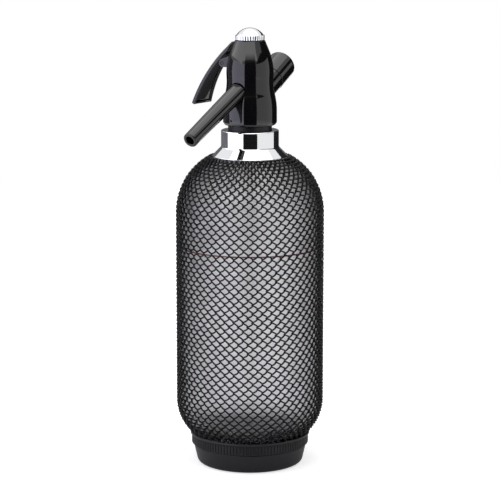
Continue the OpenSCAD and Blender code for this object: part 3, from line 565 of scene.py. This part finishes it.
# head: turned shell with two ears, open for the nozzle, the holder, the lever's nose and the pin
head = {"z": 261.861, "top": 325.761, "r": 20.4, "edge": 2.5, "sideZ": 272.061,
        "creaseR": 19, "creaseZ": 284.561, "waistR": 17.62, "waistZ": 295.261,
        "crownR": 17.85, "crownZ": 301.561, "crownBend": 42, "crownSlope": 22.2,
        "topR": 11.3, "topEdge": ((0.25, -0.5), (0.05, -0.15), (-0.35, 0)),
        "lowR": 17.05, "midR": 15.05, "towerR": 8.55, "stepZ": 283.161, "towerZ": 304.661,
        "edgeSteps": 8, "sideSteps": 18, "riseSteps": 8, "crownSteps": 16, "coneSteps": 15, "segments": 192,
        "nozzleZ": 296.061, "nozzleTilt": 116, "nozzleHoleR": 6.95,
        "holderZ": 279.061, "holderTilt": -60, "holderHoleR": 10.75,
        "holeStart": 8, "holeEnd": 40, "holeSegments": 96,
        "ventX": -3.6, "ventOut": 20, "ventZ": 266.3, "ventR": 0.85, "ventStart": 18.9, "ventEnd": 22,
        "ventSegments": 24,
        "body": "head", "nodes": ["head_shell"], "slot": "head_plastic", "material": glossAbs, "sharp": 32}
hinge = {"x": -20.3, "z": 308.061, "earR": 3.1, "earT": 2.5, "earGap": 0.3,
         "earRootX": -11.9, "earRootR": 0.5, "earRootLow": 2.4, "earRootHigh": 5.8,
         "eyeR": 3, "eyeW": 10, "plateRound": 0.4, "slotW": 5.6, "slotTop": 318.561, "slotOut": 3,
         "holeR": 1.55, "holeHalf": 12, "segments": 48}
nozzlePlace = axisPlace(0, head["nozzleZ"], head["nozzleTilt"])
holderPlace = axisPlace(0, head["holderZ"], head["holderTilt"])
pinPlace = axisPlace(hinge["x"], hinge["z"], 90)
flareH = head["creaseZ"] - head["sideZ"]
flareR = leanRadius(head["r"] - head["creaseR"], flareH)
waistH = head["waistZ"] - head["creaseZ"]
waistBend = leanRadius(head["creaseR"] - head["waistR"], waistH)
headOutline = [(head["lowR"], head["z"])]
headOutline += arc(head["r"] - head["edge"], head["z"] + head["edge"], head["edge"], -90, 0,
                   head["edgeSteps"])
headOutline += arc(head["r"] - flareR, head["sideZ"], flareR, 0, math.degrees(math.asin(flareH / flareR)),
                   head["sideSteps"])
headOutline += arc(head["waistR"] + waistBend, head["waistZ"], waistBend, 180,
                   180 + math.degrees(math.asin(waistH / waistBend)), head["sideSteps"])[::-1]
for share in between(head["riseSteps"]):
    headOutline.append((head["waistR"] + (head["crownR"] - head["waistR"]) * ease(share),
                        head["waistZ"] + (head["crownZ"] - head["waistZ"]) * share))
headOutline += arc(head["crownR"] - head["crownBend"], head["crownZ"], head["crownBend"],
                   0, head["crownSlope"], head["crownSteps"])
coneStart = np.array(headOutline[-1])
coneEnd = np.array((head["topR"], head["top"]))
headOutline += [tuple(coneStart + (coneEnd - coneStart) * share) for share in between(head["coneSteps"])]
headOutline += [(head["topR"] + right, head["top"] + up) for right, up in head["topEdge"]]
headOutline += [(head["towerR"], head["top"]), (head["towerR"], head["towerZ"]),
                (head["midR"], head["towerZ"]), (head["midR"], head["stepZ"]), (head["lowR"], head["stepZ"])]
headShell = newMesh("headShell", *lathe(headOutline, head["segments"]))
earOutline = hullOutline([(hinge["x"], hinge["z"], hinge["earR"]),
                          (hinge["earRootX"], hinge["z"] - hinge["earRootLow"], hinge["earRootR"]),
                          (hinge["earRootX"], hinge["z"] + hinge["earRootHigh"], hinge["earRootR"])])
for side in (-1, 1):
    earY = side * (hinge["eyeW"] / 2 + hinge["earGap"] + hinge["earT"] / 2)
    ear = newMesh("ear", *acrossLever(earOutline, earY, hinge["earT"], hinge["plateRound"]))
    combine(headShell, ear, "UNION")
nozzleHole = rod("nozzleHole", head["nozzleHoleR"], head["holeStart"], head["holeEnd"], head["holeSegments"],
                 nozzlePlace)
combine(headShell, nozzleHole, "DIFFERENCE")
holderHole = rod("holderHole", head["holderHoleR"], head["holeStart"], head["holeEnd"], head["holeSegments"],
                 holderPlace)
combine(headShell, holderHole, "DIFFERENCE")
slotX, slotY = hinge["x"] - hinge["slotOut"], hinge["slotW"] / 2
slotEnds = [[(slotX, -slotY, z), (0, -slotY, z), (0, slotY, z), (slotX, slotY, z)]
            for z in (hinge["z"] - hinge["eyeR"], hinge["slotTop"])]
combine(headShell, newMesh("slot", *loft(slotEnds)), "DIFFERENCE")
pinHole = rod("pinHole", hinge["holeR"], -hinge["holeHalf"], hinge["holeHalf"], hinge["segments"], pinPlace)
combine(headShell, pinHole, "DIFFERENCE")
ventTurn = math.atan2(head["ventX"], head["ventOut"])
ventPlace = Matrix.Rotation(ventTurn, 4, "Z") @ axisPlace(0, head["ventZ"], 90)
vent = rod("vent", head["ventR"], head["ventStart"], head["ventEnd"], head["ventSegments"], ventPlace)
combine(headShell, vent, "DIFFERENCE")
finishPiece(headShell, head)

nozzle = {"start": 18, "reach": 87, "rootR": 6.75, "tipR": 5.6, "boreR": 3.3, "spigotR": 5,
          "spigotStart": 9.4, "boreRound": 0.3, "spigotRound": 0.4, "rootRound": 0.2, "tipRound": 1,
          "mouthRound": 0.5, "segments": 96,
          "body": "head", "nodes": ["nozzle"], "slot": "head_plastic", "material": glossAbs}
nozzleOutline = roundCorners([
    (nozzle["boreR"], nozzle["spigotStart"], nozzle["boreRound"]),
    (nozzle["spigotR"], nozzle["spigotStart"], nozzle["spigotRound"]),
    (nozzle["spigotR"], nozzle["start"], 0), (nozzle["rootR"], nozzle["start"], nozzle["rootRound"]),
    (nozzle["tipR"], nozzle["reach"], nozzle["tipRound"]),
    (nozzle["boreR"], nozzle["reach"], nozzle["mouthRound"])])
pouringNozzle = newMesh("pouringNozzle", *lathe(nozzleOutline, nozzle["segments"]), nozzlePlace)
finishPiece(pouringNozzle, nozzle)

holder = {"start": 11, "gripStart": 32, "end": 53.6, "r": 10.6, "gripR": 10.95, "boreR": 9.3, "ball": 43,
          "seam": 0.3, "startRound": 0.4, "seamRound": 0.15, "gripRound": 0.2, "endRound": 4,
          "steps": 12, "ballSteps": 16, "segments": 128,
          "body": "holder", "nodes": ["charger_holder"], "slot": "head_plastic", "material": glossAbs}
outside = roundCorners([
    (holder["boreR"], holder["start"], 0), (holder["r"], holder["start"], holder["startRound"]),
    (holder["r"], holder["gripStart"] - holder["seam"], holder["seamRound"]),
    (holder["r"] - holder["seam"], holder["gripStart"], 0),
    (holder["gripR"], holder["gripStart"], holder["gripRound"]),
    (holder["gripR"], holder["end"], holder["endRound"]), (0, holder["end"], 0)],
    holder["steps"], closed=False)
inside = arc(0, holder["ball"], holder["boreR"], 90, 0, holder["ballSteps"])
chargerHolder = newMesh("chargerHolder", *lathe(outside + inside, holder["segments"]), holderPlace)
finishPiece(chargerHolder, holder)

# lever: a curved channel that narrows upwards, with an eye for the pin and a nose under the stem's collar
lever = {"top": (-13.6, 324.561), "tip": (-46.6, 276.561), "sag": 4.2, "topW": 9, "tipW": 23, "skin": 1.8,
         "crown": 1.8, "crownLeave": 0.8, "crownSteps": 8,  # rounding of the outer edges, less on a thin one
         "rim": 1.4, "rimDepth": 1.5, "rimLeast": 0.03, "rimStart": 0.04, "rimFull": 0.14,
         "rimRound": 0.5, "bedRound": 0.45, "rimSteps": 4, "endRound": 0.6,
         "tipRim": 1.6, "tipSlope": 0.9, "tipDip": 0.25,  # the rim goes round the tip, a little lower there
         "rings": 44, "ringSpan": (0.02, 0.94),  # in shares of the length
         "tipRings": 11, "tipSpan": (2.8, 0.8),  # in mm from the tip
         "web": ((0.16, 1.2, 0.4), (0.44, 1.2, 0.4)),  # share of the length, depth, radius
         "nose": (-3.9, 312.061, 1.2), "noseRoot": (1.4, 1.3, 1.7), "noseW": 5,
         "body": "lever", "nodes": ["lever"], "slot": "head_plastic", "material": glossAbs, "sharp": 38}
leverTop, leverTip = np.array(lever["top"]), np.array(lever["tip"])
chord = np.linalg.norm(leverTip - leverTop)
down = (leverTip - leverTop) / chord
inward = np.array((-down[1], down[0]))
bend = (chord * chord / 4 + lever["sag"] ** 2) / (2 * lever["sag"])
halfBend = math.asin(chord / 2 / bend)
bendMiddle = (leverTop + leverTip) / 2 + inward * (bend - lever["sag"])
length = 2 * halfBend * bend


def leverPoint(share, depth):
    a = halfBend * (2 * share - 1)
    return bendMiddle + (bend - depth) * (down * math.sin(a) - inward * math.cos(a))


def roundOne(before, here, after, steps):
    # the points of one rounded corner
    corner = np.array(here[:2])
    u = np.array(before[:2]) - corner
    v = np.array(after[:2]) - corner
    u, v = u / np.linalg.norm(u), v / np.linalg.norm(v)
    angles = np.linspace(0, math.pi / 2, steps + 1)
    return [tuple(corner + here[2] * (u * (1 - math.sin(a)) + v * (1 - math.cos(a)))) for a in angles]


def leverRing(share, inset):
    fall = (leverTop[1] - leverPoint(share, 0)[1]) / (leverTop[1] - leverTip[1])
    half = lever["topW"] / 2 + fall * (lever["tipW"] - lever["topW"]) / 2
    inner = half - lever["rim"]
    grown = ease((share - lever["rimStart"]) / (lever["rimFull"] - lever["rimStart"]))
    deep = lever["skin"] + lever["rimLeast"] + lever["rimDepth"] * grown
    closed = ease(1 - ((1 - share) * length - lever["tipRim"]) / lever["tipSlope"])
    bed = lever["skin"] + max(0, deep - lever["tipDip"] - lever["skin"]) * closed
    small = lever["bedRound"] * min(1, deep - bed)
    crown = min(lever["crown"], deep - lever["crownLeave"])
    section = [(-half, 0, crown), (-half, deep, lever["rimRound"]),
               (-inner, deep, small), (-inner, bed, small), (inner, bed, small), (inner, deep, small),
               (half, deep, lever["rimRound"]), (half, 0, crown)]
    points = []
    for i, corner in enumerate(section):
        steps = lever["crownSteps"] if corner[1] == 0 else lever["rimSteps"]
        points += roundOne(section[i - 1], corner, section[(i + 1) % len(section)], steps)
    points = np.array(points[::-1])
    ring = []
    for y, depth in points - outwards(points) * inset:
        x, z = leverPoint(share, depth)
        ring.append((x, y, z))
    return ring


ends = [(lever["endRound"] * (1 - math.cos(a)) / length, lever["endRound"] * (1 - math.sin(a)))
        for a in quarterTurn]
stations = ends + [(share, 0) for share in np.linspace(*lever["ringSpan"], lever["rings"])]
stations += [(1 - left / length, 0) for left in np.linspace(*lever["tipSpan"], lever["tipRings"])]
stations += [(1 - share, inset) for share, inset in ends[::-1]]
squeezeLever = newMesh("squeezeLever", *loft([leverRing(share, inset) for share, inset in stations]))
web = hullOutline([(hinge["x"], hinge["z"], hinge["eyeR"])]
                  + [(*leverPoint(share, depth), radius) for share, depth, radius in lever["web"]])
webPlate = newMesh("web", *acrossLever(web, 0, hinge["eyeW"], hinge["plateRound"]))
right, up, rootR = lever["noseRoot"]  # from the hinge
nose = hullOutline([lever["nose"], (hinge["x"] + right, hinge["z"] + up, rootR)])
combine(webPlate, newMesh("nose", *acrossLever(nose, 0, lever["noseW"], hinge["plateRound"])), "UNION")
leverHole = rod("leverHole", hinge["holeR"], -hinge["holeHalf"], hinge["holeHalf"], hinge["segments"],
                pinPlace)
combine(webPlate, leverHole, "DIFFERENCE")
join(squeezeLever, webPlate)
finishPiece(squeezeLever, lever)

pin = {"half": 7.8, "r": 1.5, "dome": 0.35, "segments": 48,
       "body": "head", "nodes": ["lever_pin"], "slot": "steel", "material": blackenedSteel}
pinOutline = roundCorners([(0, -pin["half"], 0), (pin["r"], -pin["half"], pin["dome"]),
                           (pin["r"], pin["half"], pin["dome"]), (0, pin["half"], 0)])
leverPin = newMesh("leverPin", *lathe(pinOutline, pin["segments"]), pinPlace)
finishPiece(leverPin, pin)

# spring with evenly spaced coils, built at rest: the stem's lift is listed but nothing here shortens the
# spring
spring = {"d": 6.4, "wire": 0.7, "coils": 7, "low": 315.161, "high": 331.011, "lift": 3.87,
          "perCoil": 28, "sides": 10,
          "body": "head", "nodes": ["valve_spring"], "slot": "steel", "material": drawnSteel, "sharp": 60}
springLength = spring["high"] - spring["low"]
share = np.linspace(0, 1, spring["coils"] * spring["perCoil"] + 1)
angle = 2 * math.pi * spring["coils"] * share
climb = spring["low"] + spring["wire"] / 2 + (springLength - spring["wire"]) * share
path = np.stack((spring["d"] / 2 * np.cos(angle), spring["d"] / 2 * np.sin(angle), climb), 1)[None]
out = np.stack((np.cos(angle), np.sin(angle), 0 * angle), 1)[None]
valveSpring = newMesh("valveSpring", *sweep(path, out, spring["wire"] / 2, spring["sides"]))
finishPiece(valveSpring, spring)
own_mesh(valveSpring)

cap = {"r": 11, "z": 326.111, "ringH": 3.5, "lowIn": 0.7, "highIn": 0.6, "edge": 0.16,
       "edgeForm": ((0.3, 0.6, 0.6), (0, 1.4, 1)),  # in and up, in shares of the edge, and fluting
       "flutes": 30, "fluteR": 1.8, "perFlute": 10, "domeH": 5.5, "domeR": 10.3, "domeSteps": 24,
       "plugR": 5.85, "plugH": 6, "plugEdge": 0.3, "pocketR": 3.85, "pocketTop": 331.111,
       "body": "cap", "nodes": ["top_cap"], "slot": "chrome", "material": chromePlate, "sharp": 42}


def fluteCarve(share):
    # rounded ridges that meet in sharp valleys
    across = (2 * (share * cap["flutes"] % 1) - 1) * math.pi * cap["r"] / cap["flutes"]
    return cap["fluteR"] - math.sqrt(cap["fluteR"] ** 2 - across ** 2)


low, high, plugZ = cap["z"], cap["z"] + cap["ringH"], cap["z"] - cap["plugH"]
capTop = high + cap["domeH"]
domeBend = leanRadius(cap["domeH"], cap["domeR"])
domeSpan = math.degrees(math.asin(cap["domeR"] / domeBend))
edgePoints = [(cap["r"] - cap["edge"] * into, cap["edge"] * up, share) for into, up, share in cap["edgeForm"]]
capOutline = [(cap["r"] - cap["lowIn"], low, 0)] + [(r, low + up, share) for r, up, share in edgePoints]
capOutline += [(r, high - up, share) for r, up, share in edgePoints[::-1]]
capOutline.append((cap["r"] - cap["highIn"], high, 0))
capOutline += arc(0, capTop - domeBend, domeBend, 90 - domeSpan, 90, cap["domeSteps"])
capOutline += [(0, cap["pocketTop"]), (cap["pocketR"], cap["pocketTop"]), (cap["pocketR"], plugZ),
               (cap["plugR"] - cap["plugEdge"], plugZ), (cap["plugR"], plugZ + cap["plugEdge"]),
               (cap["plugR"], low)]
topCap = newMesh("topCap", *lathe(capOutline, cap["flutes"] * cap["perFlute"], fluteCarve))
finishPiece(topCap, cap)

# the pieces that stay as the frame has them
keptNodes = {
    "base_cushion": nitrileRubber, "thread_ring": turnedBrass, "neck_liner": naturalNylon,
    "neck_gasket": nitrileRubber, "valve_body": blackAcetal, "siphon_tube": clearVinyl,
    "tube_bush": nitrileRubber, "gas_check_valve": nitrileRubber, "piercing_pin": drawnSteel,
    "charger_seal": nitrileRubber, "gas_charger": drawnSteel, "nozzle_seal": nitrileRubber,
    "valve_stem": drawnSteel, "valve_seal": nitrileRubber, "stem_seal": nitrileRubber,
    "gland_ring": turnedBrass, "cap_seal": nitrileRubber,
}
for name, material in keptNodes.items():
    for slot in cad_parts[name].material_slots:
        slot.material = material
print("kept nodes dressed:", len(keptNodes))

# camera as in the photograph, in metres and degrees, with its lens and sensor in mm
view = {"azimuth": 34, "distance": 1.612, "height": 0.457, "pitch": 10.25, "lens": 154.3, "sensor": 36}
turned = math.radians(view["azimuth"])
camera = bpy.data.objects.new("camera", bpy.data.cameras.new("camera"))
camera.data.sensor_width = view["sensor"]
camera.data.sensor_fit = "HORIZONTAL"
camera.data.lens = view["lens"]
camera.location = (view["distance"] * math.sin(turned), -view["distance"] * math.cos(turned), view["height"])
camera.rotation_euler = (math.radians(90 - view["pitch"]), 0, turned)
bpy.context.scene.collection.objects.link(camera)
bpy.context.scene.camera = camera


def addLamp(name, width, height, radiance, tone):
    lamp = bpy.data.lights.new(name, "AREA")
    lamp.shape = "RECTANGLE"
    lamp.size, lamp.size_y = width, height
    lamp.energy = radiance * math.pi * width * height
    lamp.color = linear(tone)[:3]
    lampObject = bpy.data.objects.new(name, lamp)
    lampObject.visible_camera = False
    bpy.context.scene.collection.objects.link(lampObject)
    return lampObject


# studio: soft boxes in metres, given as degrees to the right of the camera, with their radiance
boxes = {
    "leftBox": {"at": -62, "distance": 1.05, "low": 0.0, "high": 0.62, "width": 1.5,
                "radiance": 1.45, "tone": "#d0cef6", "mirrored": True},
    "rightBox": {"at": 68, "distance": 1.15, "low": 0.0, "high": 1.5, "width": 1.75,
                 "radiance": 0.7, "tone": "#ffffff", "mirrored": False},
    "frontBox": {"at": 0, "distance": 1.2, "low": 0.86, "high": 1.7, "width": 2.0,
                 "radiance": 1.6, "tone": "#ffffff", "mirrored": True},
    "sideBox": {"at": -80, "distance": 1.2, "low": 0.7, "high": 1.6, "width": 2.0,
                "radiance": 1.6, "tone": "#ffffff", "mirrored": True},
}
for name, box in boxes.items():
    softBox = addLamp(name, box["width"], box["high"] - box["low"], box["radiance"], box["tone"])
    at = turned + math.radians(box["at"])
    softBox.location = (box["distance"] * math.sin(at), -box["distance"] * math.cos(at),
                        (box["low"] + box["high"]) / 2)
    softBox.rotation_euler = (math.radians(90), 0, at)
    softBox.visible_glossy = box["mirrored"]
overhead = {"width": 1.6, "z": 1.5, "radiance": 1.5, "tone": "#ffffff"}
topBox = addLamp("topBox", overhead["width"], overhead["width"], overhead["radiance"], overhead["tone"])
topBox.location = (0, 0, overhead["z"])

# dark and grey cards that only reflections or only the glass see, in mm, as curved sheets round the object
cards = {
    "frontCard": {"from": -27, "to": 29, "radius": 900, "low": -1, "high": 1000, "tone": "#020202",
                  "fade": 600},
    "rightCard": {"from": 108, "to": 158, "radius": 900, "low": -1, "high": 800, "tone": "#020202"},
    "leftCard": {"from": -147, "to": -98, "radius": 900, "low": -1, "high": 500, "tone": "#7c7c80"},
    "highCard": {"from": 29, "to": 165, "radius": 920, "low": 550, "high": 850, "tone": "#020202",
                 "topFrom": 62},
    "backCard": {"from": 158, "to": 213, "radius": 900, "low": 120, "high": 700, "tone": "#6a6a6c"},
    "leftFlag": {"from": 189, "to": 250, "radius": 950, "low": -1, "high": 600, "tone": "#020202",
                 "for": "transmission"},
    "rightFlag": {"from": 110, "to": 169, "radius": 950, "low": -1, "high": 600, "tone": "#020202",
                  "for": "transmission"},
}
floorCards = {
    "frontFloorCard": {"from": -27, "to": 29, "near": 450, "far": 900, "z": 0.2, "felt": "frontCard"},
    "backFloorCard": {"from": 122, "to": 218, "near": 230, "far": 900, "z": 0.2, "felt": "backCard"},
}
sheetPoints = 25  # along each edge


def addSheet(name, edges, felt, seenBy):
    # between two curved edges of (radius, height, from, to)
    verts = []
    for radius, z, start, end in edges:
        for a in turned + np.radians(np.linspace(start, end, sheetPoints)):
            verts.append((radius * math.sin(a), -radius * math.cos(a), z))
    faces = [(i, i + 1, i + sheetPoints + 1, i + sheetPoints) for i in range(sheetPoints - 1)]
    sheet = newMesh(name, verts, faces)
    sheet.data.materials.append(felt)
    for kind in ("camera", "diffuse", "glossy", "transmission", "volume_scatter", "shadow"):
        setattr(sheet, "visible_" + kind, kind == seenBy)


felts = {}
for name, card in cards.items():
    felts[name], tree, shader, place = startMaterial(name + "Felt", {
        "Base Color": linear(card["tone"]), "Roughness": 1.0})
    if "fade" in card:
        height = addNode(tree, "SeparateXYZ", {}, [("Vector", place)])
        solid = addNode(tree, "MapRange", {"From Min": card["fade"] / 1000, "From Max": card["high"] / 1000,
                                           "To Min": 1.0, "To Max": 0.0}, [("Value", height.outputs["Z"])])
        feed(shader, "Alpha", solid.outputs["Result"])
    lowEdge = (card["radius"], card["low"], card["from"], card["to"])
    highEdge = (card["radius"], card["high"], card.get("topFrom", card["from"]), card["to"])
    addSheet(name, (lowEdge, highEdge), felts[name], card.get("for", "glossy"))
for name, card in floorCards.items():
    edges = [(radius, card["z"], card["from"], card["to"]) for radius in (card["near"], card["far"])]
    addSheet(name, edges, felts[card["felt"]], "glossy")

# floor: pale paper that keeps the shadow, and glows less close to the object than further out, a painted
# shade round the object's foot that reflections show too
paperFloor = {"radius": 1500, "z": -0.3, "sides": 96, "tone": "#e4e4e4", "glow": 0.6,
              "paintedShadeTo": 120, "whiteFrom": 600}
paper, tree, shader, place = startMaterial("floorPaper", {
    "Base Color": linear(paperFloor["tone"]), "Roughness": 0.9, "Emission Color": (1, 1, 1, 1)})
ray = addNode(tree, "LightPath", {})
seen = addNode(tree, "Math", {"operation": "MAXIMUM"},
               [(0, ray.outputs["Is Camera Ray"]), (1, ray.outputs["Is Transmission Ray"])])
# painted shade: the glow is least within the first distance and full beyond the second, so the floor round
# the object looks darker; the eye and the glass keep part of the glow there, reflections none
reach = addNode(tree, "VectorMath", {"operation": "LENGTH"}, [(0, place)])
away = addNode(tree, "MapRange", {
    "From Min": paperFloor["paintedShadeTo"] / 1000, "From Max": paperFloor["whiteFrom"] / 1000},
    [("Value", reach.outputs["Value"])])
white = addNode(tree, "MapRange", {"To Min": paperFloor["glow"], "To Max": 1.0},
                [("Value", away.outputs["Result"])])
plain = addNode(tree, "Math", {"operation": "MULTIPLY"}, [(0, seen.outputs[0]), (1, white.outputs["Result"])])
mirrored = addNode(tree, "Math", {"operation": "MULTIPLY"},
                   [(0, ray.outputs["Is Glossy Ray"]), (1, away.outputs["Result"])])
glow = addNode(tree, "Math", {"operation": "MAXIMUM"}, [(0, plain.outputs[0]), (1, mirrored.outputs[0])])
feed(shader, "Emission Strength", glow.outputs[0])
disc = [(paperFloor["radius"] * math.cos(a), paperFloor["radius"] * math.sin(a), paperFloor["z"])
        for a in np.linspace(0, 2 * math.pi, paperFloor["sides"], endpoint=False)]
floor = newMesh("floor", disc, [list(range(paperFloor["sides"]))])
floor.data.materials.append(paper)

# white surroundings for the eye, reflections and glass, and a low fill for the rest
surroundings = {"white": 1.0, "fill": 0.2}
world = bpy.data.worlds.new("studio")
bpy.context.scene.world = world
world.use_nodes = True
tree = world.node_tree
background = tree.nodes["Background"]
background.inputs["Color"].default_value = (1, 1, 1, 1)
ray = addNode(tree, "LightPath", {})
seen = addNode(tree, "Math", {"operation": "MAXIMUM"},
               [(0, ray.outputs["Is Camera Ray"]), (1, ray.outputs["Is Glossy Ray"])])
seen = addNode(tree, "Math", {"operation": "MAXIMUM"},
               [(0, seen.outputs[0]), (1, ray.outputs["Is Transmission Ray"])])
level = addNode(tree, "MapRange", {"To Min": surroundings["fill"], "To Max": surroundings["white"]},
                [("Value", seen.outputs[0])])
feed(background, "Strength", level.outputs["Result"])
bpy.context.scene.view_settings.view_transform = "Standard"
print("studio set")
